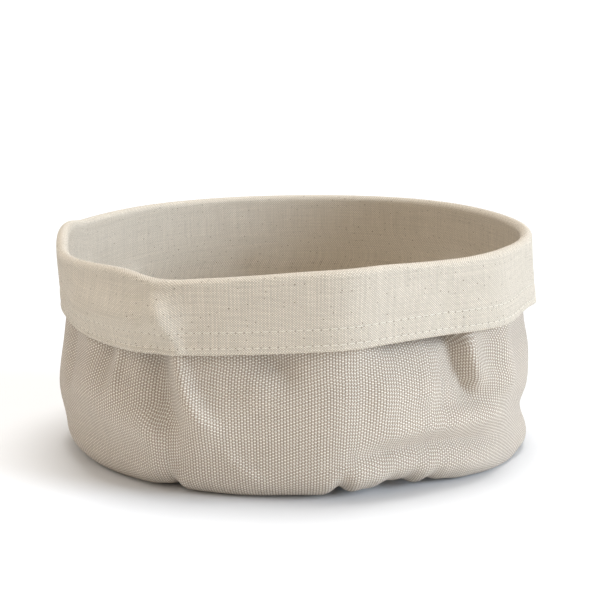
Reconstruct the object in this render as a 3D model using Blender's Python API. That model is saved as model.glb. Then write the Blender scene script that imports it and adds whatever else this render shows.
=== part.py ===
"""A round cloth bread bag that stands up by itself, with its mouth turned down into a cuff.

Two skins are made, each the way it is cut: a wall that is sewn into a ring and a round base.
The outer skin is coarse canvas and the lining is fine cotton. Both walls run up from the base,
over the rim fold and down the outside, so that the lining shows as the cuff.

Angles are in degrees around +Z, 0 at the front (-Y) and growing towards +X.
Lengths in the tables and constants are in millimetres; the meshes are built in metres.
"""

from collections import namedtuple
from math import cos, exp, hypot, pi, radians, sin

import bmesh
import bpy
import numpy as np

MM = 0.001

# Cloth.
CANVAS_THICK = 1.2
LINING_THICK = 1.0
CLOTH_GAP = 0.3  # between the two skins, and between each wall and its base
LINING_OFFSET = CANVAS_THICK / 2.0 + CLOTH_GAP + LINING_THICK / 2.0

# The canvas wall's middle surface.
WALL_RADIUS = 114.0  # at the level of the cuff
BELLY = 3.2  # how far the wall swells out below the cuff
BELLY_HEIGHT = 38.0  # the height of its widest place
BELLY_SPREAD = 18.0
FOLD_RADIUS = 1.25  # bend of the canvas over the rim
CUFF_CLEAR = 1.6  # from the middle of the wall to the middle of the cuff that holds it in
CUFF_START = 0.15  # share of the cuff that still follows the fold before it flares
CORNER_UNDER = 0.15  # share of the corner's reach that lies hidden under the foot
SEAM_INSET = 5.0  # from where the corner begins in to the base seam
RISE_WIDTH = 16.0  # width of the base's outer strip that lifts off the floor at a tuck

# Steps of the meshes.
CORNER_STEPS = 4
WALL_STEPS = 11  # below the hem, where the folds show
BAND_STEPS = 2  # behind the cuff
FOLD_STEPS = 4
CUFF_STEPS = 3
BASE_HUB = 0.5  # radius of the base's innermost ring, as a share of its flat part

# Columns around the bag, a row for each span of it: finest where the sharp folds are.
Span = namedtuple("Span", "start end columns")
SPANS = (
    Span(-100, -52, 7),
    Span(-52, -32, 7),
    Span(-32, -12, 16),
    Span(-12, 6, 4),
    Span(6, 36, 12),
    Span(36, 50, 11),
    Span(50, 60, 3),
    Span(60, 100, 6),
    Span(100, 260, 12),
)

# Colours, linear.
CANVAS_COLOUR = (0.56, 0.50, 0.43)
COTTON_COLOUR = (0.72, 0.66, 0.56)

# The wall's outline, a row for each section around the bag:
# rim = top of the canvas fold, hem = lower edge of the cuff, flare = how far the hem stands off,
# foot = radius where the wall leaves the floor, corner = height of the round bottom corner.
Section = namedtuple("Section", "angle rim hem flare foot corner")
SECTIONS = (
    Section(-180, 108.6, 74.0, 1.0, 104, 12),
    Section(-140, 107.4, 75.0, 1.0, 106, 11),
    Section(-107, 105.9, 75.5, 0.0, 109, 10),
    Section(-96, 107.7, 75.2, -0.6, 106, 11),
    Section(-87, 106.0, 73.8, -1.0, 105, 12),
    Section(-76, 100.2, 73.4, -0.8, 103, 13),
    Section(-66, 99.2, 70.6, -0.4, 104, 14),
    Section(-55, 99.4, 66.7, 0.2, 105, 13),
    Section(-42, 99.9, 65.4, 0.8, 104, 14),
    Section(-30, 97.6, 66.0, 1.4, 103, 15),
    Section(-20, 99.0, 66.9, 1.4, 103, 15),
    Section(-8, 101.2, 68.4, 1.2, 103, 15),
    Section(5, 103.7, 70.2, 1.2, 101, 15),
    Section(18, 105.0, 71.8, 1.6, 100, 15),
    Section(30, 104.6, 72.7, 2.4, 101, 14),
    Section(42, 104.6, 72.7, 2.6, 106, 12),
    Section(55, 105.6, 72.9, 2.6, 110.5, 9),
    Section(68, 105.9, 75.2, 2.6, 113, 7),
    Section(85, 106.8, 72.4, 2.8, 112.5, 4),
    Section(105, 107.6, 74.5, 2.2, 112, 5),
    Section(140, 109.2, 75.0, 1.4, 107, 9),
)

# Folds of the wall and of the cuff, a row for each crease or swelling. It runs from its start
# to its end, bowed sideways in its middle; depth is outwards, and less than 0 is a trough.
# Lean makes a fold that runs down gentler on its left and steeper on its right.
# It grows over the first share of its length (rise) and dies away over the last (fade).
Fold = namedtuple("Fold", "angle height end_angle end_height bow width lean depth rise fade")
WALL_FOLDS = (
    Fold(-25.6, 74, -14.5, 29, 8.0, 6.2, 0.2, 4.4, 0.0, 0.25),
    Fold(-34.8, 80, -25.0, 20, 2.0, 8.2, 0.0, -7.4, 0.0, 0.3),
    Fold(-29.0, 36, -31.0, 2, -5.0, 6.0, 0.0, -2.4, 0.4, 0.2),
    Fold(-17.5, 27, -5.0, 6, 1.5, 3.2, 0.3, 0.9, 0.3, 0.4),
    Fold(-43.0, 70, -44.0, 38, 0.0, 3.4, 0.3, 2.8, 0.0, 0.5),
    Fold(-47.6, 72, -49.0, 50, 0.0, 4.0, 0.0, -1.8, 0.0, 0.7),
    Fold(-55.5, 76, -51.5, 36, 0.0, 8.0, 0.2, 2.8, 0.0, 0.5),
    Fold(-70.0, 74, -67.0, 28, 0.0, 8.0, 0.0, -4.2, 0.0, 0.5),
    Fold(-76.0, 27, -106.0, 27, 0.0, 11.0, 0.0, 1.6, 0.3, 0.3),
    Fold(-60.0, 76, -116.0, 78, 0.0, 10.0, 0.0, -1.4, 0.3, 0.3),
    Fold(-30.6, 1, -35.0, 10, 0.0, 2.0, -0.3, -2.2, 0.0, 0.5),
    Fold(-5.5, 80, -5.9, 50, 0.0, 11.0, 0.0, -4.6, 0.0, 0.6),
    Fold(-4.5, 68, 0.1, 50, 0.0, 5.0, 0.0, -1.4, 0.3, 0.5),
    Fold(-8.0, 62, -9.0, 40, 0.0, 6.5, 0.0, 0.9, 0.3, 0.5),
    Fold(14.0, 47, 37.0, 46, 0.0, 13.0, 0.0, 3.2, 0.3, 0.3),
    Fold(12.0, 75, 46.0, 77, 0.0, 7.0, 0.0, -7.4, 0.3, 0.2),
    Fold(40.6, 84, 46.0, 36, 3.4, 6.8, 0.3, -6.0, 0.0, 0.4),
    Fold(29.0, 72, 42.0, 73, 0.0, 4.6, 0.0, -2.8, 0.5, 0.2),
    Fold(42.7, 80, 49.0, 39, 3.0, 6.2, -0.2, 2.4, 0.0, 0.35),
    Fold(42.5, 52, 52.0, 34, 2.2, 6.5, 0.0, -3.4, 0.3, 0.6),
    Fold(55.0, 72, 57.0, 48, 0.0, 9.5, 0.0, 5.0, 0.0, 0.0),
    Fold(20.0, 42, 52.0, 40, 0.0, 5.0, 0.0, -1.4, 0.5, 0.3),
    Fold(44.0, 42, 104.0, 18, 4.6, 6.5, 0.0, -1.8, 0.25, 0.4),
    Fold(12.0, 30, 68.0, 28, -2.4, 5.0, 0.0, 2.8, 0.25, 0.3),
    Fold(2.0, 16, 62.0, 13, -8.0, 5.0, -0.3, -2.2, 0.3, 0.3),
    Fold(4.0, 9, 60.0, 4, -5.0, 6.0, 0.0, 2.4, 0.3, 0.3),
    Fold(-66.0, 35, -8.0, 30, 0.0, 11.0, 0.0, 3.0, 0.3, 0.3),
    Fold(-68.0, 46, -37.0, 42, 0.0, 10.0, 0.0, 2.4, 0.3, 0.3),
    Fold(62.0, 54, 112.0, 52, 0.0, 10.0, 0.0, 1.2, 0.3, 0.4),
    Fold(58.0, 7, 116.0, 7, 0.0, 7.0, 0.0, 3.0, 0.4, 0.4),
    Fold(128.0, 72, 120.0, 28, 4.0, 8.0, 0.0, -3.6, 0.0, 0.5),
    Fold(150.0, 68, 161.0, 22, -3.0, 7.0, 0.0, 2.2, 0.0, 0.5),
    Fold(172.0, 40, 140.0, 20, 3.0, 6.0, 0.0, -1.8, 0.4, 0.4),
    Fold(-126.0, 70, -136.0, 24, -4.0, 7.0, 0.0, -3.4, 0.0, 0.5),
    Fold(-166.0, 66, -157.0, 30, 3.0, 8.0, 0.0, 2.0, 0.0, 0.5),
    Fold(-112.0, 22, -160.0, 18, 2.0, 5.0, 0.0, -1.8, 0.4, 0.4),
)
CUFF_FOLDS = (
    Fold(-36.5, 100, -28.5, 62, 0.0, 6.0, 0.0, -1.6, 0.4, 0.0),
    Fold(-32.8, 98, -24.4, 64, 0.0, 4.6, 0.4, 1.8, 0.4, 0.0),
    Fold(35.0, 104, 37.0, 70, 0.0, 8.0, 0.0, -1.0, 0.6, 0.0),
    Fold(50.0, 108, 52.0, 70, 0.0, 12.0, 0.0, 0.8, 0.3, 0.0),
    Fold(-84.0, 98, -84.0, 60, 0.0, 13.0, 0.0, -2.2, 0.5, 0.0),
    Fold(-68.0, 81, -29.0, 82, 0.0, 8.5, 0.0, 4.2, 0.25, 0.25),
    Fold(130.0, 106, 130.0, 72, 0.0, 12.0, 0.0, -1.0, 0.6, 0.0),
    Fold(-140.0, 106, -140.0, 72, 0.0, 12.0, 0.0, -0.8, 0.6, 0.0),
)

# Soft upright corners of the round plan, where the flat panels between them meet.
# Width is in degrees; depth is outwards.
Corner = namedtuple("Corner", "angle width depth")
CORNERS = (
    Corner(-70.0, 9.0, 0.6),
    Corner(-50.0, 10.0, -1.0),
    Corner(-32.0, 7.0, 1.6),
    Corner(-11.0, 11.0, -1.6),
    Corner(11.0, 8.0, 2.9),
    Corner(31.0, 12.0, -2.4),
    Corner(53.0, 8.0, 0.9),
)

# Small tucks where the wall is gathered into the base seam: each lifts the foot off the floor
# and draws the lowest part of the wall in. Width is in degrees.
Tuck = namedtuple("Tuck", "angle width lift depth height")
TUCKS = (
    Tuck(-33.6, 2.6, 1.2, 0.4, 6.0),
    Tuck(-30.0, 1.8, 3.4, 0.8, 5.0),
    Tuck(-2.0, 8.0, 0.5, 0.2, 6.0),
    Tuck(10.8, 2.2, 4.0, 0.5, 6.0),
    Tuck(17.0, 2.6, 1.4, 0.3, 6.0),
    Tuck(23.4, 3.4, 4.2, 0.4, 8.0),
    Tuck(28.8, 2.8, 4.0, 0.4, 8.0),
    Tuck(35.2, 2.4, 3.2, 0.4, 6.0),
    Tuck(40.0, 3.6, 1.5, 0.3, 6.0),
    Tuck(48.0, 5.0, 0.5, 0.2, 6.0),
    Tuck(118.0, 5.0, 2.2, 1.5, 7.0),
    Tuck(150.0, 5.0, 3.4, 1.5, 7.0),
    Tuck(-122.0, 5.0, 2.6, 1.5, 7.0),
    Tuck(-158.0, 5.0, 3.0, 1.5, 7.0),
)


def clear_scene():
    for thing in list(bpy.data.objects):
        bpy.data.objects.remove(thing, do_unlink=True)


def turned(angle, middle):
    """The angle's distance from the middle, from -180 to 180 degrees."""
    return (angle - middle + 180.0) % 360.0 - 180.0


def outline(column, angle):
    """One column of the sections at any angle, on a smooth closed curve through the rows."""
    rows = sorted(SECTIONS, key=lambda row: turned(row.angle, angle))
    after = next((i for i, row in enumerate(rows) if turned(row.angle, angle) > 0.0), 0)
    near = [rows[(after + step) % len(rows)] for step in (-2, -1, 0, 1)]
    places = [turned(row.angle, angle) for row in near]
    places[0] -= 360.0 if places[0] > places[1] else 0.0
    places[3] += 360.0 if places[3] < places[2] else 0.0
    values = [getattr(row, column) for row in near]
    span = places[2] - places[1]
    share = -places[1] / span
    slope_in = (values[2] - values[0]) / (places[2] - places[0]) * span
    slope_out = (values[3] - values[1]) / (places[3] - places[1]) * span
    rise = values[2] - values[1]
    bend = (share - 1.0) * slope_in + share * slope_out
    ease = share * share * (3.0 - 2.0 * share)
    return values[1] + rise * ease + share * (share - 1.0) * bend


def eased(share):
    share = min(max(share, 0.0), 1.0)
    return share * share * (3.0 - 2.0 * share)


def fold_depth(folds, angle, height):
    """The sum of the folds at one place of the wall."""
    total = 0.0
    for fold in folds:
        along_x = radians(turned(fold.end_angle, fold.angle)) * WALL_RADIUS
        along_z = fold.end_height - fold.height
        length = hypot(along_x, along_z)
        here_x = radians(turned(angle, fold.angle)) * WALL_RADIUS
        here_z = height - fold.height
        along = (here_x * along_x + here_z * along_z) / length
        side = (here_x * along_z - here_z * along_x) / length
        share = min(max(along / length, 0.0), 1.0)
        side -= fold.bow * 4.0 * share * (1.0 - share)
        past = along - share * length
        strength = eased(share / fold.rise) if fold.rise else 1.0
        strength *= eased((1.0 - share) / fold.fade) if fold.fade else 1.0
        width = fold.width * (1.0 + fold.lean if side > 0.0 else 1.0 - fold.lean)
        total += strength * fold.depth * exp(-((side / width) ** 2) - (past / fold.width) ** 2)
    return total


def tuck_shape(angle, height):
    """How far the tucks lift the foot, and how far they draw the wall in at a height."""
    lift = 0.0
    depth = 0.0
    for tuck in TUCKS:
        near = exp(-((turned(angle, tuck.angle) / tuck.width) ** 2))
        lift += tuck.lift * near
        depth += tuck.depth * near * exp(-((height / tuck.height) ** 2))
    return lift, depth


def plain_radius(angle, height):
    """The wall's middle radius without its folds: the belly on a plan with soft corners."""
    swell = (height - BELLY_HEIGHT) / BELLY_SPREAD
    radius = WALL_RADIUS + BELLY * exp(-swell * swell)
    for corner in CORNERS:
        near = turned(angle, corner.angle) / corner.width
        radius += corner.depth * exp(-near * near)
    return radius


def cuff_radius(angle, height, share):
    """The canvas cuff's middle radius; share runs from 0 at the fold to 1 at the hem."""
    under = plain_radius(angle, height) + 2.0 * FOLD_RADIUS
    flare = outline("flare", angle) * share**1.5
    ease = min(share / CUFF_START, 1.0)
    return under + flare + ease * fold_depth(CUFF_FOLDS, angle, height)


def wall_radius(angle, height):
    """The canvas wall's middle radius; the cuff holds in the folds that run up under it."""
    free = plain_radius(angle, height) + fold_depth(WALL_FOLDS, angle, height)
    hem = outline("hem", angle)
    fold_bottom = outline("rim", angle) - FOLD_RADIUS
    level = max(height, hem)
    share = min(max((fold_bottom - level) / (fold_bottom - hem), 0.0), 1.0)
    return min(free, cuff_radius(angle, level, share) - CUFF_CLEAR + level - height)


def corner_start(angle):
    """Radius at which the round bottom corner begins, and the height at which it ends."""
    corner_top = CANVAS_THICK / 2.0 + tuck_shape(angle, 0.0)[0] + outline("corner", angle)
    foot = outline("foot", angle)
    wall = plain_radius(angle, corner_top)
    return foot - CORNER_UNDER * (wall - foot), corner_top


def under_height(angle, inward):
    """Height of the canvas's middle under the bag, at a distance in from the corner's start."""
    lift = tuck_shape(angle, 0.0)[0]
    return CANVAS_THICK / 2.0 + lift * eased(1.0 - inward / RISE_WIDTH)


def section_points(angle):
    """The canvas wall's middle line at one angle, as radius and height, from seam to hem."""
    start, corner_top = corner_start(angle)
    reach = plain_radius(angle, corner_top) - start
    rise = outline("corner", angle)
    points = [(start - SEAM_INSET, under_height(angle, SEAM_INSET))]
    for step in range(CORNER_STEPS):
        turn = pi / 2.0 * step / CORNER_STEPS
        height = corner_top - rise * cos(turn)
        radius = start + (reach - tuck_shape(angle, height)[1]) * sin(turn)
        radius += fold_depth(WALL_FOLDS, angle, height) * sin(turn) ** 2
        points.append((radius, height))
    hem = outline("hem", angle)
    fold_bottom = outline("rim", angle) - FOLD_RADIUS
    heights = [corner_top + (hem - corner_top) * i / WALL_STEPS for i in range(WALL_STEPS)]
    heights += [hem + (fold_bottom - hem) * i / BAND_STEPS for i in range(BAND_STEPS + 1)]
    for height in heights:
        points.append((wall_radius(angle, height) - tuck_shape(angle, height)[1], height))
    inner = points[-1][0]
    outer = cuff_radius(angle, fold_bottom, 0.0)
    bend = (outer - inner) / 2.0
    for step in range(1, FOLD_STEPS):
        turn = pi * step / FOLD_STEPS
        points.append((inner + bend * (1.0 - cos(turn)), fold_bottom + FOLD_RADIUS * sin(turn)))
    for step in range(CUFF_STEPS + 1):
        share = step / CUFF_STEPS
        height = fold_bottom + (hem - fold_bottom) * share
        points.append((cuff_radius(angle, height, share), height))
    return points


def angles_around():
    angles = []
    for span in SPANS:
        step = (span.end - span.start) / span.columns
        angles += [span.start + step * column for column in range(span.columns)]
    return angles


def base_points(angle):
    """The canvas base's middle line at one angle, as radius and height, from hub to seam."""
    start = corner_start(angle)[0]
    flat = start - RISE_WIDTH
    edge = start - SEAM_INSET - CLOTH_GAP
    radii = (BASE_HUB * flat, flat, (flat + edge) / 2.0, edge)
    return [(radius, under_height(angle, start - radius)) for radius in radii]


def surface_grid(points_at):
    """A grid of points around the axis, angle by station by xyz, from a line at each angle."""
    grid = []
    for angle in angles_around():
        across = (sin(radians(angle)), -cos(radians(angle)))
        grid.append([(r * across[0], r * across[1], z) for r, z in points_at(angle)])
    return np.array(grid)


def grid_normals(grid):
    """Unit normals of the grid, pointing to the lining's side of the cloth."""
    around = np.roll(grid, -1, axis=0) - np.roll(grid, 1, axis=0)
    along = np.gradient(grid, axis=1)
    normals = np.cross(along, around)
    return normals / np.linalg.norm(normals, axis=2, keepdims=True)


def finish_mesh(name, shape):
    """Splits the faces the short way, turns them outward, shades them and adds the object."""
    bmesh.ops.triangulate(shape, faces=shape.faces, quad_method="SHORT_EDGE")
    bmesh.ops.recalc_face_normals(shape, faces=shape.faces)
    mesh = bpy.data.meshes.new(name)
    shape.to_mesh(mesh)
    shape.free()
    mesh.shade_smooth()
    mesh.set_sharp_from_angle(angle=radians(70.0))
    piece = bpy.data.objects.new(name, mesh)
    bpy.context.scene.collection.objects.link(piece)
    return piece


def ring_layers(shape, points_at, offset, thick):
    """Both faces of a ring of cloth at an offset from its middle surface, and its seam edge."""
    grid = surface_grid(points_at)
    normals = grid_normals(grid)
    layers = []
    for side in (offset - thick / 2.0, offset + thick / 2.0):
        points = (grid + normals * side) * MM
        layers.append([[shape.verts.new(point) for point in row] for row in points])
    count = len(grid)
    for i in range(count):
        after = (i + 1) % count
        for layer in layers:
            for j in range(len(layer[i]) - 1):
                corners = (layer[i][j], layer[after][j], layer[after][j + 1], layer[i][j + 1])
                shape.faces.new(corners)
    return layers


def close_edge(shape, layers, station):
    """Joins the two faces of the cloth along one of its edges."""
    back, front = layers
    for i in range(len(back)):
        after = (i + 1) % len(back)
        ring = (back[i][station], back[after][station])
        shape.faces.new(ring + (front[after][station], front[i][station]))


def wall_skin(name, offset, thick):
    """A wall of cloth, closed along its seam and its hem."""
    shape = bmesh.new()
    layers = ring_layers(shape, section_points, offset, thick)
    close_edge(shape, layers, 0)
    close_edge(shape, layers, -1)
    return finish_mesh(name, shape)


def base_disc(name, offset, thick):
    """A round of cloth, closed along its seam and over its hub."""
    shape = bmesh.new()
    layers = ring_layers(shape, base_points, offset, thick)
    close_edge(shape, layers, -1)
    for layer in layers:
        shape.faces.new([row[0] for row in layer])
    return finish_mesh(name, shape)


def cloth_material(name, colour, roughness):
    material = bpy.data.materials.new(name)
    material.use_nodes = True
    shader = material.node_tree.nodes["Principled BSDF"]
    shader.inputs["Base Color"].default_value = (*colour, 1.0)
    shader.inputs["Roughness"].default_value = roughness
    shader.inputs["Metallic"].default_value = 0.0
    return material


def make_canvas_wall():
    wall = wall_skin("canvas_wall", 0.0, CANVAS_THICK)
    wall.data.materials.append(cloth_material("coarse canvas", CANVAS_COLOUR, 0.95))


def make_canvas_base():
    base = base_disc("canvas_base", 0.0, CANVAS_THICK)
    base.data.materials.append(cloth_material("coarse canvas base", CANVAS_COLOUR, 0.95))


def make_lining_wall():
    lining = wall_skin("cotton_lining", LINING_OFFSET, LINING_THICK)
    lining.data.materials.append(cloth_material("unbleached cotton", COTTON_COLOUR, 0.9))


def make_lining_base():
    base = base_disc("cotton_base", LINING_OFFSET, LINING_THICK)
    base.data.materials.append(cloth_material("unbleached cotton base", COTTON_COLOUR, 0.9))


def main():
    clear_scene()
    make_canvas_wall()
    make_canvas_base()
    make_lining_wall()
    make_lining_base()


main()
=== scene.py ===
from collections import namedtuple
from math import cos, pi, radians, sin

import bmesh
import bpy
import numpy as np
from mathutils import Matrix, Vector


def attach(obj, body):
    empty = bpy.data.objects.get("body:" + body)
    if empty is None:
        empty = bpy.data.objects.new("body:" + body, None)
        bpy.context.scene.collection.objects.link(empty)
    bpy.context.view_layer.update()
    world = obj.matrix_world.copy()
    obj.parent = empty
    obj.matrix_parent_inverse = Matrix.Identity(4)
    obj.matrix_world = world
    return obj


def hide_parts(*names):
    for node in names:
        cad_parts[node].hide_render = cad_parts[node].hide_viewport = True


mm = 0.001

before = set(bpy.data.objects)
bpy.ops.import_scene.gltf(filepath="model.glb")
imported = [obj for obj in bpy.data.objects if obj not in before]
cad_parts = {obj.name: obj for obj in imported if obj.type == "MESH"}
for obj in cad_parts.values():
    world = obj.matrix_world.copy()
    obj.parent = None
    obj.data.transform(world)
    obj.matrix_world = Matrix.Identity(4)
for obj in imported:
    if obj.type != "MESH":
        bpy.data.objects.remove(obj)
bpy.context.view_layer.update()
print("frame loaded")


# Colour and nodes.

def linearColour(hexText):  # "d8cfc0" in sRGB becomes linear RGBA
    parts = [int(hexText[i:i + 2], 16) / 255 for i in (0, 2, 4)]
    return [p / 12.92 if p <= 0.04045 else ((p + 0.055) / 1.055) ** 2.4 for p in parts] + [1.0]


def addNode(tree, kind, settings=None, inputs=None):  # a node, its settings, and links or values
    node = tree.nodes.new(kind)
    for name, value in (settings or {}).items():
        if name != "stops":
            setattr(node, name, value)
            continue
        for place, hexText in value[1:-1]:  # a colour ramp has its first and last stop already
            node.color_ramp.elements.new(place)
        for element, (place, hexText) in zip(node.color_ramp.elements, value):
            element.position = place
            element.color = linearColour(hexText)
    for socket, source in (inputs or {}).items():
        if isinstance(source, bpy.types.NodeSocket):
            tree.links.new(source, node.inputs[socket])
        else:
            node.inputs[socket].default_value = source
    return node


def newMaterial(name):
    material = bpy.data.materials.new(name)
    material.use_nodes = True
    return material, material.node_tree, material.node_tree.nodes["Principled BSDF"]


def clothMillimetres(tree):  # the piece's own UV map is in metres along the cloth; this gives mm
    place = addNode(tree, "ShaderNodeUVMap", {"uv_map": "cloth"})
    scaled = addNode(tree, "ShaderNodeVectorMath", {"operation": "SCALE"},
                     {0: place.outputs[0], "Scale": 1.0 / mm})
    return scaled.outputs[0]


# Noise of the patterns: its octaves, and the range that most of its values lie in.
noiseRange = {
    "detail": 2.0,
    "low": 0.3,
    "high": 0.7,
}


def plainWeave(tree, place, cloth):  # height of a plain weave, 1 on a warp thread and less on a weft
    waver = addNode(tree, "ShaderNodeTexNoise", {},
                    {"Vector": place, "Scale": cloth["waverScale"], "Detail": noiseRange["detail"]})
    centred = addNode(tree, "ShaderNodeVectorMath", {"operation": "SUBTRACT"},
                      {0: waver.outputs["Color"], 1: (0.5, 0.5, 0.5)})
    shift = addNode(tree, "ShaderNodeVectorMath", {"operation": "SCALE"},
                    {0: centred.outputs[0], "Scale": cloth["waver"]})
    moved = addNode(tree, "ShaderNodeVectorMath", {"operation": "ADD"}, {0: place, 1: shift.outputs[0]})
    waves = (pi / cloth["warpPitch"], pi / cloth["weftPitch"], 0.0)
    phase = addNode(tree, "ShaderNodeVectorMath", {"operation": "MULTIPLY"},
                    {0: moved.outputs[0], 1: waves})
    sines = addNode(tree, "ShaderNodeVectorMath", {"operation": "SINE"}, {0: phase.outputs[0]})
    parts = addNode(tree, "ShaderNodeSeparateXYZ", {}, {0: sines.outputs[0]})
    checker = addNode(tree, "ShaderNodeMath", {"operation": "MULTIPLY"},
                      {0: parts.outputs[0], 1: parts.outputs[1]})
    over = addNode(tree, "ShaderNodeMath", {"operation": "MAXIMUM"}, {0: checker.outputs[0], 1: 0.0})
    warp = addNode(tree, "ShaderNodeMath", {"operation": "POWER"},
                   {0: over.outputs[0], 1: cloth["warpRound"]})
    under = addNode(tree, "ShaderNodeMath", {"operation": "MULTIPLY"}, {0: checker.outputs[0], 1: -1.0})
    below = addNode(tree, "ShaderNodeMath", {"operation": "MAXIMUM"}, {0: under.outputs[0], 1: 0.0})
    weft = addNode(tree, "ShaderNodeMath", {"operation": "POWER"},
                   {0: below.outputs[0], 1: cloth["weftRound"]})
    return addNode(tree, "ShaderNodeMath", {"operation": "MULTIPLY_ADD"},
                   {0: weft.outputs[0], 1: cloth["weftHeight"], 2: warp.outputs[0]}).outputs[0]


def threadTone(tree, place, across, along, spread):  # a factor near 1 that differs from thread to thread
    stretched = addNode(tree, "ShaderNodeVectorMath", {"operation": "MULTIPLY"},
                        {0: place, 1: (across, along, 0.0)})
    noise = addNode(tree, "ShaderNodeTexNoise", {},
                    {"Vector": stretched.outputs[0], "Scale": 1.0, "Detail": noiseRange["detail"]})
    return addNode(tree, "ShaderNodeMapRange", {},
                   {"Value": noise.outputs[0],
                    "From Min": noiseRange["low"], "From Max": noiseRange["high"],
                    "To Min": 1.0 - spread, "To Max": 1.0 + spread}).outputs[0]


# Greige canvas: a heavy plain weave of thick, hardly twisted threads, not bleached.
# The eye gets bright oval dots where the warp lies on top, in columns, with brown gaps between.
canvasCloth = {
    "warpPitch": 1.31,  # mm from thread to thread, real size
    "weftPitch": 0.755,
    "waver": 0.22,  # mm that threads wander
    "waverScale": 0.12,  # per mm
    "warpRound": 0.6,  # below 1 the thread's back is broad, above 1 it is narrow
    "weftRound": 0.8,
    "weftHeight": 0.5,  # against the warp's
    # Painted shade: the gap and weft colours darken the weave's low parts, where the threads shade each
    # other.
    "gap": "7d6450",
    "weft": "d6cab9",
    "weftStop": 0.45,  # height at which the weave has the weft's colour, painted a little darker as shade
    "warp": "faf4e8",
    "threadSpread": 0.04,  # share by which a thread's tone may differ
    "warpTone": 0.04,  # changes of tone per mm along a warp thread
    "weftTone": 0.03,
    "bump": 0.5 * mm,
    "bumpStrength": 0.8,
    "roughness": 0.95,
    "specular": 0.25,
    "sheen": 0.15,
    "sheenRoughness": 0.5,
}

# Unbleached cotton: a fine plain weave with slubs and bits of seed husk left in it.
# The eye gets a soft cream, a fine grain with faint ribs, and scattered dark flecks.
cottonCloth = {
    "warpPitch": 0.58,  # real threads are 0.4 mm; drawn a little coarser so that they show
    "weftPitch": 0.52,
    "waver": 0.25,
    "waverScale": 0.2,
    "warpRound": 0.7,
    "weftRound": 0.8,
    "weftHeight": 0.4,
    # Painted shade: the gap and weft colours darken the weave's low parts, where the threads shade each
    # other.
    "gap": "8d7d66",
    "weft": "e1d7c7",
    "weftStop": 0.45,
    "warp": "faf3e4",
    "threadSpread": 0.07,
    "warpTone": 0.04,
    "weftTone": 0.03,
    # This dark colour serves for the seed flecks and for the painted shade in the stitch pits.
    "fleckAndPitShade": "5e4f3a",
    "fleckCell": 4.0,  # mm, one fleck at most in each
    "fleckRadius": 0.27,
    "fleckInner": 0.6,  # shares of the radius between which a fleck fades into the cloth
    "fleckOuter": 1.3,
    "fleckFree": 0.35,  # share of the cells that have no fleck
    "fleckDark": 0.9,  # how dark the darkest of them is, 1 for its full colour
    "bump": 0.25 * mm,
    "bumpStrength": 0.6,
    "roughness": 0.9,
    "specular": 0.25,
    "sheen": 0.12,
    "sheenRoughness": 0.5,
}

# Two rows of topstitching hold the turned hem; sizes in mm, rows measured up from the hem.
stitching = {
    "rows": (10.0, 3.2),
    "dent": 0.22,  # how deep the thread pulls the cloth in
    "dentWidth": 0.7,
    "puff": 0.12,  # how far the cloth swells between the rows
    "pitch": 3.6,  # from stitch to stitch
    "reach": 0.5,  # degrees to each side that give the row's direction
    "length": 3.2,
    "thread": 0.33,  # its diameter
    "sides": 8,
    "rings": 6,
    "middle": 1e-7,  # metres, the points of the stitch's middle ring lie within this of 0
    "dive": 0.12,  # how far a stitch's ends dip into the cloth
    "hole": 0.28,  # radius of the small pits between stitches, darkened with painted shade
    "holeEdge": 0.4,  # share of the radius over which a pit fades, inwards and outwards
    "pitShade": 0.6,  # strength of the pits' painted shade, 1 for the full fleck colour
    "hemPlace": 10.0,  # mm, the hem's place on the lining's own v
}

# Topstitching thread: twisted cotton-wrapped polyester, a little smoother than the cloth.
# The eye gets short pale dashes.
threadFinish = {
    "light": "e2dccd",
    "dark": "cbc3b2",
    "darkStop": 0.3,  # the noise value up to which it is dark, and from which it is light
    "lightStop": 0.6,
    "twist": 0.35,  # mm from turn to turn of its plies
    "roughness": 0.7,
}


def wovenColour(tree, place, height, cloth):  # the weave's colours, with painted shade in its low parts, and thread to thread variation
    stops = [(0.0, cloth["gap"]), (cloth["weftStop"], cloth["weft"]), (1.0, cloth["warp"])]
    ramp = addNode(tree, "ShaderNodeValToRGB", {"stops": stops}, {"Fac": height})
    warpTone = threadTone(tree, place, 1.0 / cloth["warpPitch"], cloth["warpTone"], cloth["threadSpread"])
    weftTone = threadTone(tree, place, cloth["weftTone"], 1.0 / cloth["weftPitch"], cloth["threadSpread"])
    tone = addNode(tree, "ShaderNodeMath", {"operation": "MULTIPLY"}, {0: warpTone, 1: weftTone})
    return addNode(tree, "ShaderNodeVectorMath", {"operation": "SCALE"},
                   {0: ramp.outputs[0], "Scale": tone.outputs[0]}).outputs[0]


def finishCloth(tree, shader, colour, height, cloth):  # colour, relief and the dry sheen of loose fibres
    tree.links.new(colour, shader.inputs["Base Color"])
    bump = addNode(tree, "ShaderNodeBump", {},
                   {"Height": height, "Strength": cloth["bumpStrength"], "Distance": cloth["bump"]})
    tree.links.new(bump.outputs[0], shader.inputs["Normal"])
    shader.inputs["Roughness"].default_value = cloth["roughness"]
    shader.inputs["Specular IOR Level"].default_value = cloth["specular"]
    shader.inputs["Sheen Weight"].default_value = cloth["sheen"]
    shader.inputs["Sheen Roughness"].default_value = cloth["sheenRoughness"]


def makeCanvas():
    material, tree, shader = newMaterial("greigeCanvas")
    place = clothMillimetres(tree)
    height = plainWeave(tree, place, canvasCloth)
    colour = wovenColour(tree, place, height, canvasCloth)
    finishCloth(tree, shader, colour, height, canvasCloth)
    return material


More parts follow.
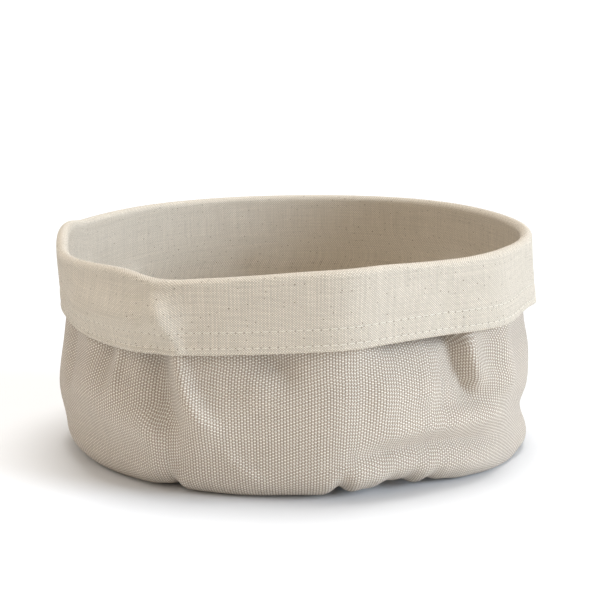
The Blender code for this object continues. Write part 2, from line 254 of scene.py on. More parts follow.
def stitchPitShade(tree, place):  # painted shade: above 0 in the pits between the stitches of both rows
    parts = addNode(tree, "ShaderNodeSeparateXYZ", {}, {0: place})
    half = stitching["pitch"] / 2.0
    along = addNode(tree, "ShaderNodeMath", {"operation": "WRAP"},
                    {0: parts.outputs[0], 1: half, 2: -half}).outputs[0]
    masks = []
    for row in stitching["rows"]:
        above = addNode(tree, "ShaderNodeMath", {"operation": "SUBTRACT"},
                        {0: parts.outputs[1], 1: row + stitching["hemPlace"]})
        offset = addNode(tree, "ShaderNodeCombineXYZ", {}, {0: along, 1: above.outputs[0]})
        distance = addNode(tree, "ShaderNodeVectorMath", {"operation": "LENGTH"}, {0: offset.outputs[0]})
        masks.append(addNode(tree, "ShaderNodeMapRange", {},
                             {"Value": distance.outputs["Value"],
                              "From Min": stitching["hole"] * (1.0 - stitching["holeEdge"]),
                              "From Max": stitching["hole"] * (1.0 + stitching["holeEdge"]),
                              "To Min": stitching["pitShade"], "To Max": 0.0}).outputs[0])
    return addNode(tree, "ShaderNodeMath", {"operation": "MAXIMUM"},
                   {0: masks[0], 1: masks[1]}).outputs[0]


def makeCotton():
    material, tree, shader = newMaterial("unbleachedCotton")
    place = clothMillimetres(tree)
    height = plainWeave(tree, place, cottonCloth)
    colour = wovenColour(tree, place, height, cottonCloth)
    cell = cottonCloth["fleckCell"]
    seeds = addNode(tree, "ShaderNodeTexVoronoi", {"voronoi_dimensions": "2D"},
                    {"Vector": place, "Scale": 1.0 / cell})
    radius = cottonCloth["fleckRadius"] / cell
    near = addNode(tree, "ShaderNodeMapRange", {},
                   {"Value": seeds.outputs["Distance"], "From Min": radius * cottonCloth["fleckInner"],
                    "From Max": radius * cottonCloth["fleckOuter"], "To Min": 1.0, "To Max": 0.0})
    chance = addNode(tree, "ShaderNodeSeparateColor", {}, {0: seeds.outputs["Color"]})
    kept = addNode(tree, "ShaderNodeMapRange", {},
                   {"Value": chance.outputs[0], "From Min": cottonCloth["fleckFree"],
                    "From Max": 1.0, "To Min": 0.0, "To Max": cottonCloth["fleckDark"]})
    flecks = addNode(tree, "ShaderNodeMath", {"operation": "MULTIPLY"},
                     {0: near.outputs[0], 1: kept.outputs[0]})
    # Real seed flecks and the painted shade of the stitch pits both take the fleck colour.
    mask = addNode(tree, "ShaderNodeMath", {"operation": "MAXIMUM"},
                   {0: flecks.outputs[0], 1: stitchPitShade(tree, place)})
    # Inputs 6 and 7 and output 2 of this node are its colours.
    flecksAndPitShade = addNode(tree, "ShaderNodeMix", {"data_type": "RGBA"},
                      {"Factor": mask.outputs[0], 6: colour, 7: linearColour(cottonCloth["fleckAndPitShade"])})
    finishCloth(tree, shader, flecksAndPitShade.outputs[2], height, cottonCloth)
    return material


def makeThread():
    material, tree, shader = newMaterial("topstitchThread")
    coordinates = addNode(tree, "ShaderNodeTexCoord")
    noise = addNode(tree, "ShaderNodeTexNoise", {},
                    {"Vector": coordinates.outputs["Object"], "Scale": 1.0 / (threadFinish["twist"] * mm)})
    stops = [(threadFinish["darkStop"], threadFinish["dark"]),
             (threadFinish["lightStop"], threadFinish["light"])]
    ramp = addNode(tree, "ShaderNodeValToRGB", {"stops": stops}, {"Fac": noise.outputs[0]})
    tree.links.new(ramp.outputs[0], shader.inputs["Base Color"])
    shader.inputs["Roughness"].default_value = threadFinish["roughness"]
    return material


canvasMaterial = makeCanvas()
cottonMaterial = makeCotton()
threadMaterial = makeThread()
print("materials made")


# The shape of the cloth: the solids' outline and folds with finer steps. Six of the folds differ from
# theirs a little in depth, width or length.

bag = {
    "wallRadius": 114.0,  # of the canvas's middle, without folds and swelling
    "belly": 3.2,  # how far the wall swells out below the cuff
    "bellyHeight": 38.0,
    "bellySpread": 18.0,
    "foldRadius": 1.25,  # of the canvas over the rim
    "cuffStart": 0.15,  # share of the cuff's height over which its folds come in from the rim
    "flarePower": 1.5,  # above 1 the cuff stands off mostly near its hem
    "cornerUnder": 0.15,  # share of the bottom corner's reach that lies under the foot
    "seamInset": 5.0,  # from where the corner begins in to the base seam
    "riseWidth": 16.0,  # of the base's outer strip that lifts off the floor at a tuck
    "footClear": 0.6,  # half of the canvas solid's thickness
    "liningOffset": 1.4,  # from the canvas's middle to the cotton's
    "cuffClear": 1.5,  # from the middle of the wall to the middle of the cuff that holds it in
}

# Rim is the top of the canvas fold, hem the lower edge of the cuff, flare how far the hem stands off,
# foot the radius where the wall leaves the floor, and corner the height of the round bottom corner.
Section = namedtuple("Section", "angle rim hem flare foot corner")
sections = (
    Section(-180, 108.6, 74.0, 1.0, 104, 12),
    Section(-140, 107.4, 75.0, 1.0, 106, 11),
    Section(-107, 105.9, 75.5, 0.0, 109, 10),
    Section(-96, 107.7, 75.2, -0.6, 106, 11),
    Section(-87, 106.0, 73.8, -1.0, 105, 12),
    Section(-76, 100.2, 73.4, -0.8, 103, 13),
    Section(-66, 99.2, 70.6, -0.4, 104, 14),
    Section(-55, 99.4, 66.7, 0.2, 105, 13),
    Section(-42, 99.9, 65.4, 0.8, 104, 14),
    Section(-30, 97.6, 66.0, 1.4, 103, 15),
    Section(-20, 99.0, 66.9, 1.4, 103, 15),
    Section(-8, 101.2, 68.4, 1.2, 103, 15),
    Section(5, 103.7, 70.2, 1.2, 101, 15),
    Section(18, 105.0, 71.8, 1.6, 100, 15),
    Section(30, 104.6, 72.7, 2.4, 101, 14),
    Section(42, 104.6, 72.7, 2.6, 106, 12),
    Section(55, 105.6, 72.9, 2.6, 110.5, 9),
    Section(68, 105.9, 75.2, 2.6, 113, 7),
    Section(85, 106.8, 72.4, 2.8, 112.5, 4),
    Section(105, 107.6, 74.5, 2.2, 112, 5),
    Section(140, 109.2, 75.0, 1.4, 107, 9),
)

# Folds run from their start to their end, bowed sideways; depth is outwards. Lean makes a downward
# fold gentler on its left and steeper on its right. Each grows over its first share, rise, and dies
# away over its last share, fade.
Fold = namedtuple("Fold", "angle height endAngle endHeight bow width lean depth rise fade")
wallFolds = (
    Fold(-25.6, 74, -14.5, 29, 8.0, 5.6, 0.4, 4.6, 0.0, 0.4),
    Fold(-34.8, 80, -25.0, 20, 2.0, 8.2, 0.0, -7.4, 0.0, 0.3),
    Fold(-29.0, 36, -31.0, 2, -5.0, 6.0, 0.0, -2.4, 0.4, 0.2),
    Fold(-17.5, 27, -5.0, 6, 1.5, 3.2, 0.3, 0.9, 0.3, 0.4),
    Fold(-43.0, 70, -44.0, 38, 0.0, 3.4, 0.3, 2.8, 0.0, 0.5),
    Fold(-47.6, 72, -49.0, 50, 0.0, 4.0, 0.0, -1.8, 0.0, 0.7),
    Fold(-55.5, 76, -51.5, 36, 0.0, 8.0, 0.2, 2.8, 0.0, 0.5),
    Fold(-70.0, 74, -67.0, 28, 0.0, 8.0, 0.0, -4.2, 0.0, 0.5),
    Fold(-76.0, 27, -106.0, 27, 0.0, 11.0, 0.0, 1.6, 0.3, 0.3),
    Fold(-60.0, 76, -116.0, 78, 0.0, 10.0, 0.0, -1.4, 0.3, 0.3),
    Fold(-30.6, 1, -35.0, 10, 0.0, 2.0, -0.3, -2.2, 0.0, 0.5),
    Fold(-5.5, 80, -5.9, 50, 0.0, 11.0, 0.0, -4.2, 0.0, 0.6),
    Fold(-4.5, 68, 0.1, 50, 0.0, 5.0, 0.0, -1.4, 0.3, 0.5),
    Fold(-8.0, 62, -9.0, 40, 0.0, 6.5, 0.0, 0.9, 0.3, 0.5),
    Fold(14.0, 47, 37.0, 46, 0.0, 13.0, 0.0, 3.2, 0.3, 0.3),
    Fold(12.0, 75, 46.0, 77, 0.0, 7.0, 0.0, -7.4, 0.3, 0.2),
    Fold(40.6, 84, 46.0, 36, 3.4, 6.6, 0.55, -6.6, 0.0, 0.4),
    Fold(29.0, 72, 42.0, 73, 0.0, 4.6, 0.0, -2.8, 0.5, 0.2),
    Fold(42.7, 80, 49.0, 39, 3.0, 5.0, -0.5, 3.4, 0.0, 0.35),
    Fold(42.5, 52, 52.0, 34, 2.2, 6.5, 0.0, -3.4, 0.3, 0.6),
    Fold(55.0, 72, 57.0, 48, 0.0, 9.5, 0.0, 5.0, 0.0, 0.0),
    Fold(20.0, 42, 52.0, 40, 0.0, 5.0, 0.0, -1.4, 0.5, 0.3),
    Fold(44.0, 42, 104.0, 18, 4.6, 6.5, 0.0, -1.8, 0.25, 0.4),
    Fold(12.0, 30, 68.0, 28, -2.4, 5.0, 0.0, 2.8, 0.25, 0.3),
    Fold(2.0, 16, 62.0, 13, -8.0, 3.2, -0.3, -2.6, 0.3, 0.3),
    Fold(4.0, 9, 60.0, 4, -5.0, 6.0, 0.0, 2.4, 0.3, 0.3),
    Fold(-66.0, 35, -8.0, 30, 0.0, 11.0, 0.0, 3.0, 0.3, 0.3),
    Fold(-68.0, 46, -37.0, 42, 0.0, 10.0, 0.0, 2.4, 0.3, 0.3),
    Fold(62.0, 54, 112.0, 52, 0.0, 10.0, 0.0, 1.2, 0.3, 0.4),
    Fold(58.0, 7, 116.0, 7, 0.0, 7.0, 0.0, 3.0, 0.4, 0.4),
    Fold(128.0, 72, 120.0, 28, 4.0, 8.0, 0.0, -3.6, 0.0, 0.5),
    Fold(150.0, 68, 161.0, 22, -3.0, 7.0, 0.0, 2.2, 0.0, 0.5),
    Fold(172.0, 40, 140.0, 20, 3.0, 6.0, 0.0, -1.8, 0.4, 0.4),
    Fold(-126.0, 70, -136.0, 24, -4.0, 7.0, 0.0, -3.4, 0.0, 0.5),
    Fold(-166.0, 66, -157.0, 30, 3.0, 8.0, 0.0, 2.0, 0.0, 0.5),
    Fold(-112.0, 22, -160.0, 18, 2.0, 5.0, 0.0, -1.8, 0.4, 0.4),
)
cuffFolds = (
    Fold(-36.5, 100, -28.5, 62, 0.0, 6.0, 0.0, -1.6, 0.4, 0.0),
    Fold(-32.8, 98, -24.4, 64, 0.0, 4.6, 0.4, 1.8, 0.4, 0.0),
    Fold(35.0, 104, 37.0, 70, 0.0, 8.0, 0.0, -1.0, 0.6, 0.0),
    Fold(50.0, 108, 52.0, 70, 0.0, 12.0, 0.0, 0.8, 0.3, 0.0),
    Fold(-84.0, 98, -84.0, 60, 0.0, 13.0, 0.0, -2.2, 0.5, 0.0),
    Fold(-68.0, 81, -22.0, 82, 0.0, 8.5, 0.0, 4.4, 0.25, 0.2),
    Fold(130.0, 106, 130.0, 72, 0.0, 12.0, 0.0, -1.0, 0.6, 0.0),
    Fold(-140.0, 106, -140.0, 72, 0.0, 12.0, 0.0, -0.8, 0.6, 0.0),
)

# Soft upright corners of the bag's round plan, where the flat panels between them meet. Width is in
# degrees, as it is for the tucks.
Corner = namedtuple("Corner", "angle width depth")
corners = (
    Corner(-70.0, 9.0, 0.6),
    Corner(-50.0, 10.0, -1.0),
    Corner(-32.0, 7.0, 1.6),
    Corner(-11.0, 11.0, -1.6),
    Corner(11.0, 8.0, 2.9),
    Corner(31.0, 12.0, -2.4),
    Corner(53.0, 8.0, 0.9),
)

# Small tucks where the wall is gathered into the base seam: each lifts the foot and draws the wall in.
Tuck = namedtuple("Tuck", "angle width lift depth height")
tucks = (
    Tuck(-33.6, 2.6, 1.2, 0.4, 6.0),
    Tuck(-30.0, 1.8, 3.4, 0.8, 5.0),
    Tuck(-2.0, 8.0, 0.5, 0.2, 6.0),
    Tuck(10.8, 2.2, 4.0, 0.5, 6.0),
    Tuck(17.0, 2.6, 1.4, 0.3, 6.0),
    Tuck(23.4, 3.4, 4.2, 0.4, 8.0),
    Tuck(28.8, 2.8, 4.0, 0.4, 8.0),
    Tuck(35.2, 2.4, 3.2, 0.4, 6.0),
    Tuck(40.0, 3.6, 1.5, 0.3, 6.0),
    Tuck(48.0, 5.0, 0.5, 0.2, 6.0),
    Tuck(118.0, 5.0, 2.2, 1.5, 7.0),
    Tuck(150.0, 5.0, 3.4, 1.5, 7.0),
    Tuck(-122.0, 5.0, 2.6, 1.5, 7.0),
    Tuck(-158.0, 5.0, 3.0, 1.5, 7.0),
)


def turned(angle, middle):  # degrees from the middle, the short way round
    return (angle - middle + 180.0) % 360.0 - 180.0


def eased(share):  # 0 to 1 with a level start and end
    share = np.clip(share, 0.0, 1.0)
    return share * share * (3.0 - 2.0 * share)


def outlineAt(column, angles):  # one column of the sections on a smooth closed curve
    places = np.array([row.angle for row in sections], float)
    values = np.array([getattr(row, column) for row in sections], float)
    places = np.concatenate((places[-2:] - 360.0, places, places[:2] + 360.0))
    values = np.concatenate((values[-2:], values, values[:2]))
    after = np.searchsorted(places, angles, side="right")
    p0, p1, p2, p3 = (places[after + step] for step in (-2, -1, 0, 1))
    v0, v1, v2, v3 = (values[after + step] for step in (-2, -1, 0, 1))
    share = (angles - p1) / (p2 - p1)
    slopeIn = (v2 - v0) / (p2 - p0) * (p2 - p1)
    slopeOut = (v3 - v1) / (p3 - p1) * (p2 - p1)
    bend = (share - 1.0) * slopeIn + share * slopeOut
    return v1 + (v2 - v1) * share * share * (3.0 - 2.0 * share) + share * (share - 1.0) * bend


def foldDepth(folds, angles, heights):  # mm that a table's folds push the cloth outwards
    total = 0.0
    for fold in folds:
        alongX = radians(turned(fold.endAngle, fold.angle)) * bag["wallRadius"]
        alongZ = fold.endHeight - fold.height
        length = np.hypot(alongX, alongZ)
        hereX = np.radians(turned(angles, fold.angle)) * bag["wallRadius"]
        hereZ = heights - fold.height
        along = (hereX * alongX + hereZ * alongZ) / length
        side = (hereX * alongZ - hereZ * alongX) / length
        share = np.clip(along / length, 0.0, 1.0)
        side = side - fold.bow * 4.0 * share * (1.0 - share)
        past = along - share * length
        strength = eased(share / fold.rise) if fold.rise else 1.0
        strength = strength * (eased((1.0 - share) / fold.fade) if fold.fade else 1.0)
        width = fold.width * (1.0 + fold.lean * np.sign(side))
        away = (side / width) ** 2 + (past / fold.width) ** 2
        total = total + strength * fold.depth * np.exp(-away)
    return total


def tuckLift(angles):  # mm that the tucks lift the foot
    return sum(tuck.lift * np.exp(-(turned(angles, tuck.angle) / tuck.width) ** 2) for tuck in tucks)


def tuckDepth(angles, heights):  # mm that the tucks draw the wall in
    total = 0.0
    for tuck in tucks:
        away = (turned(angles, tuck.angle) / tuck.width) ** 2 + (heights / tuck.height) ** 2
        total = total + tuck.depth * np.exp(-away)
    return total


def swelling(heights):
    return bag["belly"] * np.exp(-((heights - bag["bellyHeight"]) / bag["bellySpread"]) ** 2)


def planRadius(angles):  # the round plan with its soft corners
    bulges = (corner.depth * np.exp(-(turned(angles, corner.angle) / corner.width) ** 2)
              for corner in corners)
    return bag["wallRadius"] + sum(bulges)


def plainRadius(angles, heights):
    return planRadius(angles) + swelling(heights)


def cuffRadiusAt(angles, heights, share):  # share is 0 at the fold over the rim and 1 at the hem
    under = plainRadius(angles, heights) + 2.0 * bag["foldRadius"]
    flare = outlineAt("flare", angles) * share ** bag["flarePower"]
    return under + flare + np.minimum(share / bag["cuffStart"], 1.0) * foldDepth(cuffFolds, angles, heights)


def wallRadiusAt(angles, heights):  # the cuff holds in the folds that run up under it
    free = plainRadius(angles, heights) + foldDepth(wallFolds, angles, heights)
    hem = outlineAt("hem", angles)
    foldBottom = outlineAt("rim", angles) - bag["foldRadius"]
    level = np.maximum(heights, hem)
    cuff = cuffRadiusAt(angles, level, np.clip((foldBottom - level) / (foldBottom - hem), 0.0, 1.0))
    return np.minimum(free, cuff - bag["cuffClear"] + level - heights)


def cornerStart(angles):  # where the round bottom corner begins, and the height at which it ends
    cornerTop = bag["footClear"] + tuckLift(angles) + outlineAt("corner", angles)
    foot = outlineAt("foot", angles)
    return foot - bag["cornerUnder"] * (plainRadius(angles, cornerTop) - foot), cornerTop


def underHeight(angles, inward):  # of the cloth's middle under the bag, by mm in from the foot
    return bag["footClear"] + tuckLift(angles) * eased(1.0 - inward / bag["riseWidth"])


# Columns around the bag, in degrees: finest where the sharp folds are, widest behind.
Span = namedtuple("Span", "start end step")
columnSpans = (
    Span(-100.0, -50.0, 1.0),
    Span(-50.0, -14.0, 0.6),
    Span(-14.0, 32.0, 0.8),
    Span(32.0, 56.0, 0.4),
    Span(56.0, 100.0, 0.8),
    Span(100.0, 260.0, 2.5),
)
mesh = {
    "seamSteps": 3,
    "cornerSteps": 15,
    "wallSteps": 60,
    "foldSteps": 9,
    "upperCuffSteps": 12,
    "hemBand": 12.0,  # mm above the hem with fine rows for the stitched hem
    "hemRows": 24,
}


def columnAngles():
    counts = [int(round((span.end - span.start) / span.step)) for span in columnSpans]
    return np.concatenate([np.linspace(span.start, span.end, count, endpoint=False)
                           for span, count in zip(columnSpans, counts)])


def clothSection(angles, hemCut):  # radius and height of the middle surface, columns by stations
    a = ((angles + 180.0) % 360.0 - 180.0)[:, None]
    start, cornerTop = cornerStart(a)
    rise = outlineAt("corner", a)
    reach = plainRadius(a, cornerTop) - start
    foldBottom = outlineAt("rim", a) - bag["foldRadius"]
    hem = outlineAt("hem", a)
    inward = np.linspace(bag["seamInset"], 0.0, mesh["seamSteps"], endpoint=False)[None, :]
    radii = [start - inward]
    heights = [underHeight(a, inward)]
    turn = np.linspace(0.0, pi / 2.0, mesh["cornerSteps"], endpoint=False)[None, :]
    height = cornerTop - rise * np.cos(turn)
    bulge = foldDepth(wallFolds, a, height) * np.sin(turn) ** 2
    radii.append(start + (reach - tuckDepth(a, height)) * np.sin(turn) + bulge)
    heights.append(height)
    height = cornerTop + (foldBottom - cornerTop) * np.linspace(0.0, 1.0, mesh["wallSteps"] + 1)[None, :]
    radii.append(wallRadiusAt(a, height) - tuckDepth(a, height))
    heights.append(height)
    inner = radii[-1][:, -1:]
    bend = (cuffRadiusAt(a, foldBottom, np.zeros_like(foldBottom)) - inner) / 2.0
    turn = np.linspace(0.0, pi, mesh["foldSteps"] + 1)[None, 1:-1]
    radii.append(inner + bend * (1.0 - np.cos(turn)))
    heights.append(foldBottom + bag["foldRadius"] * np.sin(turn))
    band = hem + mesh["hemBand"]
    share = np.linspace(0.0, 1.0, mesh["upperCuffSteps"], endpoint=False)[None, :]
    upper = foldBottom + (band - foldBottom) * share
    lower = hem + np.linspace(mesh["hemBand"], hemCut, mesh["hemRows"] + 1)[None, :]
    height = np.concatenate((upper, lower), axis=1)
    radii.append(cuffRadiusAt(a, height, (foldBottom - height) / (foldBottom - hem)))
    heights.append(height)
    return np.concatenate(radii, axis=1), np.concatenate(heights, axis=1)


def aroundAxis(angles, radii, heights):  # mm in polar form become metres in x, y, z
    turn = np.radians(angles)[:, None]
    return np.stack((radii * np.sin(turn), -radii * np.cos(turn), heights), axis=2) * mm


def liningNormals(grid):  # unit normals that point to the lining's side
    around = np.roll(grid, -1, axis=0) - np.roll(grid, 1, axis=0)
    normals = np.cross(np.gradient(grid, axis=1), around)
    return normals / np.linalg.norm(normals, axis=2, keepdims=True)


def stationLengths(grid):  # metres along the cloth from its first station, per column
    steps = np.linalg.norm(np.diff(grid, axis=1), axis=2)
    return np.concatenate((np.zeros((len(grid), 1)), np.cumsum(steps, axis=1)), axis=1)


def ringLengths(grid):  # metres along the cloth from the front, per station, on threads of one length
    steps = np.linalg.norm(np.roll(grid, -1, axis=0) - grid, axis=2)
    lengths = np.concatenate((np.zeros((1, grid.shape[1])), np.cumsum(steps, axis=0)))
    lengths = lengths * 2.0 * pi * bag["wallRadius"] * mm / lengths[-1]
    return lengths - lengths[np.argmin(np.abs(angles))]


def alongTube(lengths, hemSteps, seamSteps):  # the same for both faces and the two rounded ends
    return np.concatenate((lengths, lengths[:, -1:].repeat(hemSteps, 1), lengths[:, ::-1],
                           lengths[:, :1].repeat(seamSteps, 1)), axis=1)


def roundedEdge(grid, normals, station, half, steps=3):  # round a sheet's end, lining side first
    outward = grid[:, station] - grid[:, station - 1 if station else 1]
    outward /= np.linalg.norm(outward, axis=1, keepdims=True)
    turns = [pi * (step + 1) / (steps + 1) for step in range(steps)]
    points = [grid[:, station] + half * (np.cos(turn) * normals[:, station] + np.sin(turn) * outward)
              for turn in turns]
    return np.stack(points, axis=1)


def addSheet(name, rings, u, v, material):  # a closed tube from columns of points, with its UV map
    count, around = rings.shape[:2]
    index = np.arange(count * around).reshape(count, around)
    nextColumn = np.roll(index, -1, axis=0)
    quads = np.stack((index, np.roll(index, -1, axis=1), np.roll(nextColumn, -1, axis=1), nextColumn),
                     axis=2)
    shape = bpy.data.meshes.new(name)
    shape.from_pydata(rings.reshape(-1, 3).tolist(), [], quads.reshape(-1, 4).tolist())
    uNext = np.roll(u, -1, axis=1)
    vertexU = np.stack((u[:-1], uNext[:-1], uNext[1:], u[1:]), axis=2)
    vNext = np.roll(v, -1, axis=1)
    vertexV = np.stack((v, vNext, np.roll(vNext, -1, axis=0), np.roll(v, -1, axis=0)), axis=2)
    layer = shape.uv_layers.new(name="cloth")
    layer.data.foreach_set("uv", np.stack((vertexU, vertexV), axis=3).astype(np.float32).ravel())
    shape.shade_smooth()
    shape.materials.append(material)
    piece = bpy.data.objects.new(name, shape)
    bpy.context.scene.collection.objects.link(piece)
    turnOutward(piece)
    return piece


def turnOutward(piece):
    form = bmesh.new()
    form.from_mesh(piece.data)
    bmesh.ops.recalc_face_normals(form, faces=form.faces)
    form.to_mesh(piece.data)
    form.free()


def wallSheet(name, middle, normals, thick, material, lengths):  # both faces and both rounded ends
    half = thick / 2.0
    hemEnd = roundedEdge(middle, normals, -1, half)
    seamEnd = roundedEdge(middle, normals, 0, half)[:, ::-1]
    faces = (middle + normals * half, hemEnd, (middle - normals * half)[:, ::-1], seamEnd)
    rings = np.concatenate(faces, axis=1)
    u, v = (alongTube(part, hemEnd.shape[1], seamEnd.shape[1])
            for part in (ringLengths(middle), lengths))
    return addSheet(name, rings, u, v, material)


angles = columnAngles()

# Canvas wall: sewn into a ring, up from the base seam, over the rim and down as the cuff's backing.
canvasWallSize = {
    "thick": 1.0 * mm,
    "hemCut": 2.2,  # mm above the hem at which it ends inside the cotton
    "flat": (0.735, 0.148),
}
canvasGrid = aroundAxis(angles, *clothSection(angles, canvasWallSize["hemCut"]))
canvasWall = wallSheet("canvasWall", canvasGrid, liningNormals(canvasGrid), canvasWallSize["thick"],
                       canvasMaterial, stationLengths(canvasGrid))
print("canvas wall", len(canvasWall.data.polygons))


# Cotton lining: runs inside the canvas, over the rim, and is turned under at the hem.
liningSize = {
    "thick": 0.8 * mm,
    "hemCut": 1.2,  # mm above the hem at which the cloth begins to turn under
    "rollRadius": 0.8,
    "rollTurn": 200.0,  # degrees
    "rollSteps": 9,
    "offHem": 100.0,  # stands for all heights above the band, where the stitches pull nothing
    "flat": (0.735, 0.150),
}


def liningRelief(above):  # mm that the hem swells between its rows of stitches and dips at them
    upperRow, lowerRow = stitching["rows"]
    relief = -sum(stitching["dent"] * np.exp(-((above - row) / stitching["dentWidth"]) ** 2)
                  for row in stitching["rows"])
    between = np.clip((above - lowerRow) / (upperRow - lowerRow), 0.0, 1.0)
    edge = np.clip(above / lowerRow, 0.0, 1.0)
    return relief + stitching["puff"] * (np.sin(pi * between) ** 2 + np.sin(pi * edge) ** 2)


liningGrid = aroundAxis(angles, *clothSection(angles, liningSize["hemCut"]))
liningNormal = liningNormals(liningGrid)
above = np.full(liningGrid.shape[1], liningSize["offHem"])  # mm above the hem at each station
above[-(mesh["hemRows"] + 1):] = np.linspace(mesh["hemBand"], liningSize["hemCut"], mesh["hemRows"] + 1)
offset = (bag["liningOffset"] + liningRelief(above)) * mm
liningMiddle = liningGrid + liningNormal * offset[None, :, None]
turns = np.radians(np.linspace(0.0, liningSize["rollTurn"], liningSize["rollSteps"] + 1))[None, 1:, None]
lastNormal = liningNormal[:, -1:, :]
down = np.array([0.0, 0.0, -1.0])
rollCentre = liningMiddle[:, -1:, :] - lastNormal * liningSize["rollRadius"] * mm
roll = rollCentre + liningSize["rollRadius"] * mm * (np.cos(turns) * lastNormal + np.sin(turns) * down)
liningMiddle = np.concatenate((liningMiddle, roll), axis=1)
liningNormal = np.concatenate((liningNormal, np.cos(turns) * lastNormal + np.sin(turns) * down), axis=1)
liningAround = ringLengths(liningMiddle)
fromSeam = stationLengths(liningMiddle)
beforeRoll = fromSeam.shape[1] - liningSize["rollSteps"] - 1
hemLengths = fromSeam[:, beforeRoll:beforeRoll + 1] + liningSize["hemCut"] * mm
fromHem = hemLengths - fromSeam  # metres above the hem
cottonLining = wallSheet("cottonLining", liningMiddle, liningNormal, liningSize["thick"],
                         cottonMaterial, fromHem + stitching["hemPlace"] * mm)
print("cotton lining", len(cottonLining.data.polygons))


# Bases: two rounds of cloth, seamed to their walls.
baseSize = {
    "rings": 14,
    "crowding": 0.8,  # below 1 the rings lie closer together towards the seam
    "hub": 2.0,  # radius of the middle face
    "gap": 0.3,  # between the flat parts of base and wall; their rounded edges run into one another
    "canvasThick": 1.0 * mm,
    "cottonThick": 0.8 * mm,
    "uvPlace": 0.15,  # metres that the pattern is moved, so that all of it lies above 0
    "flat": (0.2, 0.2),
    "area": 0.0312,
}


def addBase(name, offset, thick, material):
    a = ((angles + 180.0) % 360.0 - 180.0)[:, None]
    start = cornerStart(a)[0]
    edge = start - bag["seamInset"] - baseSize["gap"]
    share = np.linspace(0.0, 1.0, baseSize["rings"])[None, :] ** baseSize["crowding"]
    radii = baseSize["hub"] + (edge - baseSize["hub"]) * share
    grid = aroundAxis(angles, radii, underHeight(a, start - radii))
    normals = liningNormals(grid)
    middle = grid + normals * offset
    half = normals * thick / 2.0
    seamEnd = roundedEdge(middle, normals, -1, thick / 2.0)
    rings = np.concatenate((middle + half, seamEnd, (middle - half)[:, ::-1]), axis=1)
    count, across = rings.shape[:2]
    index = np.arange(count * across).reshape(count, across)
    after = np.roll(index, -1, axis=0)
    quads = np.stack((index[:, :-1], index[:, 1:], after[:, 1:], after[:, :-1]), axis=2)
    faces = quads.reshape(-1, 4).tolist()
    faces += [index[:, 0].tolist(), index[:, -1].tolist()]  # the hubs
    shape = bpy.data.meshes.new(name)
    points = rings.reshape(-1, 3)
    shape.from_pydata(points.tolist(), [], faces)
    layer = shape.uv_layers.new(name="cloth")
    cornerPoints = np.empty(len(shape.loops), np.int32)  # the point at each corner of each face
    shape.loops.foreach_get("vertex_index", cornerPoints)
    places = points[cornerPoints, :2] + baseSize["uvPlace"]
    layer.data.foreach_set("uv", places.astype(np.float32).ravel())
    shape.shade_smooth()
    shape.materials.append(material)
    piece = bpy.data.objects.new(name, shape)
    bpy.context.scene.collection.objects.link(piece)
    turnOutward(piece)
    return piece


canvasBase = addBase("canvasBase", 0.0, baseSize["canvasThick"], canvasMaterial)
cottonBase = addBase("cottonBase", bag["liningOffset"] * mm, baseSize["cottonThick"], cottonMaterial)
print("bases made")


# Topstitching: one stitch is modelled and repeated along the two rows of the hem.
def modelStitch():
    bpy.ops.object.select_all(action="DESELECT")
    bpy.ops.mesh.primitive_uv_sphere_add(segments=stitching["sides"], ring_count=stitching["rings"],
                                         radius=stitching["thread"] * mm / 2.0)
    stitch = bpy.context.object
    half = (stitching["length"] - stitching["thread"]) * mm / 2.0
    for vertex in stitch.data.vertices:
        vertex.co = Vector((vertex.co.z, vertex.co.x, vertex.co.y))  # its poles lie along the row
        if abs(vertex.co.x) > stitching["middle"]:
            vertex.co.x += half if vertex.co.x > 0.0 else -half
        vertex.co.z -= stitching["dive"] * mm * (vertex.co.x / half) ** 2
    return stitch


wrapped = np.concatenate((angles, [angles[0] + 360.0]))  # the columns' angles, closed to a ring


def onRing(line, angle):  # the point of a closed line of columns at any angle
    return np.array([np.interp(angle, wrapped, np.append(line[:, axis], line[0, axis]))
                     for axis in range(3)])


def addStitches(name, stitch, above):
    share = (above - liningSize["hemCut"]) / (mesh["hemBand"] - liningSize["hemCut"])
    station = -(liningSize["rollSteps"] + 1) - int(round(share * mesh["hemRows"]))
    row = liningMiddle[:, station] + liningNormal[:, station] * liningSize["thick"] / 2.0
    normal = liningNormal[:, station]
    form = bmesh.new()
    pitch = stitching["pitch"] * mm
    alongRow = liningAround[:, station]
    first, last = (int(alongRow[end] / pitch) for end in (0, -1))
    for k in range(first, last):
        angle = np.interp((k + 0.5) * pitch, alongRow, wrapped)
        spot = onRing(row, angle)
        along = Vector(onRing(row, angle + stitching["reach"]) - onRing(row, angle - stitching["reach"]))
        along.normalize()
        out = Vector(onRing(normal, angle)).normalized()
        side = out.cross(along).normalized()
        turn = Matrix((along, side, along.cross(side))).transposed().to_4x4()
        before = len(form.verts)
        form.from_mesh(stitch.data)
        form.verts.ensure_lookup_table()
        place = Matrix.Translation(Vector(spot)) @ turn
        bmesh.ops.transform(form, matrix=place, verts=form.verts[before:])
    shape = bpy.data.meshes.new(name)
    form.to_mesh(shape)
    form.free()
    shape.shade_smooth()
    shape.materials.append(threadMaterial)
    piece = bpy.data.objects.new(name, shape)
    bpy.context.scene.collection.objects.link(piece)
    return piece


oneStitch = modelStitch()
upperStitches = addStitches("upperStitches", oneStitch, stitching["rows"][0])
lowerStitches = addStitches("lowerStitches", oneStitch, stitching["rows"][1])
bpy.data.objects.remove(oneStitch)
print("stitches made")

for piece, node, slot in ((canvasWall, "canvas_wall", "canvas"), (canvasBase, "canvas_base", "canvas"),
                          (cottonLining, "cotton_lining", "cotton"), (cottonBase, "cotton_base", "cotton")):
    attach(piece, "root")
    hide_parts(node)
for piece in (upperStitches, lowerStitches):
    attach(piece, "root")

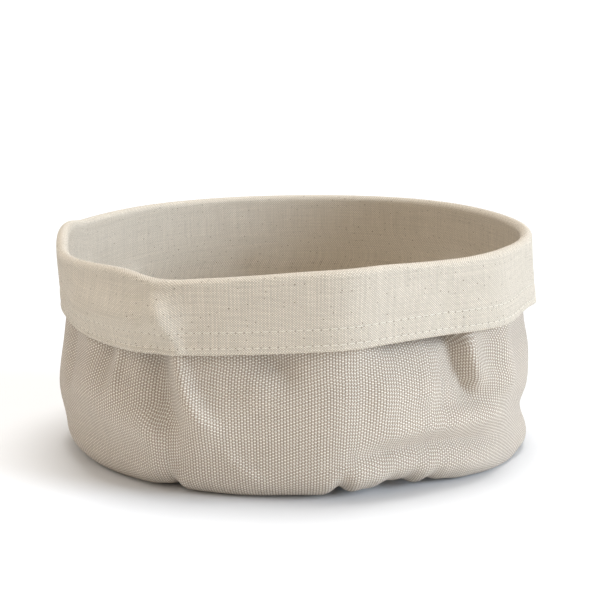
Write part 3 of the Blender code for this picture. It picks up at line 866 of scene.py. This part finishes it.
# Studio: a pale floor, one soft light from above, one from the right, a weak one from the left
# and a white surround.
# Each light: degrees round from the front, degrees up, degrees that the source spans, power, colour.
Light = namedtuple("Light", "name around up softness power colour")
lights = (
    Light("topLight", 155.0, 80.0, 34.0, 2.3, "ffffff"),
    Light("sideLight", 70.0, 17.0, 30.0, 2.9, "dcecff"),
    Light("leftLight", -54.0, 44.0, 60.0, 0.6, "fff9f2"),
)
studio = {
    "floorRadius": 12.0,
    "floorSides": 96,
    "floorDrop": 0.05 * mm,  # below the bag's foot
    "floorEdge": 0.6,  # metres that the far edge sweeps up, to stand in for the end of a paper roll
    "floorColour": "e9eaeb",
    "floorRoughness": 0.9,
    "floorSpecular": 0.1,
    "surround": 0.41,
    "surroundColour": "fff6ec",
    "cameraPlace": (0.0, -0.798, 0.221),
    "cameraTarget": (0.0028, 0.0, 0.071),
    "lens": 96.3,  # mm, for the sensor's width
    "sensor": 36.0,
}


def addFloor():
    bpy.ops.object.select_all(action="DESELECT")
    bpy.ops.mesh.primitive_circle_add(vertices=studio["floorSides"], radius=studio["floorRadius"],
                                      fill_type="NGON", location=(0.0, 0.0, -studio["floorDrop"]))
    floor = bpy.context.object
    bpy.ops.object.mode_set(mode="EDIT")
    bpy.ops.mesh.select_all(action="SELECT")
    bpy.ops.mesh.region_to_loop()
    bpy.ops.mesh.extrude_edges_move(TRANSFORM_OT_translate={"value": (0.0, 0.0, studio["floorEdge"])})
    bpy.ops.transform.resize(value=[1.0 + studio["floorEdge"] / studio["floorRadius"]] * 2 + [1.0],
                             center_override=(0.0, 0.0, studio["floorEdge"]))
    bpy.ops.object.mode_set(mode="OBJECT")
    floor.name = "floor"
    material, tree, shader = newMaterial("paintedFloor")
    shader.inputs["Base Color"].default_value = linearColour(studio["floorColour"])
    shader.inputs["Roughness"].default_value = studio["floorRoughness"]
    shader.inputs["Specular IOR Level"].default_value = studio["floorSpecular"]
    floor.data.materials.append(material)


def addSurround():
    world = bpy.data.worlds.new("surround")
    world.use_nodes = True
    background = world.node_tree.nodes["Background"]
    background.inputs["Color"].default_value = linearColour(studio["surroundColour"])
    background.inputs["Strength"].default_value = studio["surround"]
    bpy.context.scene.world = world


def addLights():
    for light in lights:
        lamp = bpy.data.lights.new(light.name, "SUN")
        lamp.angle = radians(light.softness)
        lamp.energy = light.power
        lamp.color = linearColour(light.colour)[:3]
        source = bpy.data.objects.new(light.name, lamp)
        around, up = radians(light.around), radians(light.up)
        towards = Vector((sin(around) * cos(up), -cos(around) * cos(up), sin(up)))
        source.rotation_euler = towards.to_track_quat("Z", "Y").to_euler()
        bpy.context.scene.collection.objects.link(source)


def addCamera():
    data = bpy.data.cameras.new("camera")
    data.lens = studio["lens"]
    data.sensor_width = studio["sensor"]
    camera = bpy.data.objects.new("camera", data)
    camera.location = studio["cameraPlace"]
    aim = Vector(studio["cameraTarget"]) - Vector(studio["cameraPlace"])
    camera.rotation_euler = aim.to_track_quat("-Z", "Y").to_euler()
    bpy.context.scene.collection.objects.link(camera)
    bpy.context.scene.camera = camera


addFloor()
addSurround()
addLights()
addCamera()
bpy.context.scene.view_settings.view_transform = "Standard"  # the photo's whites stay white
print("studio made")
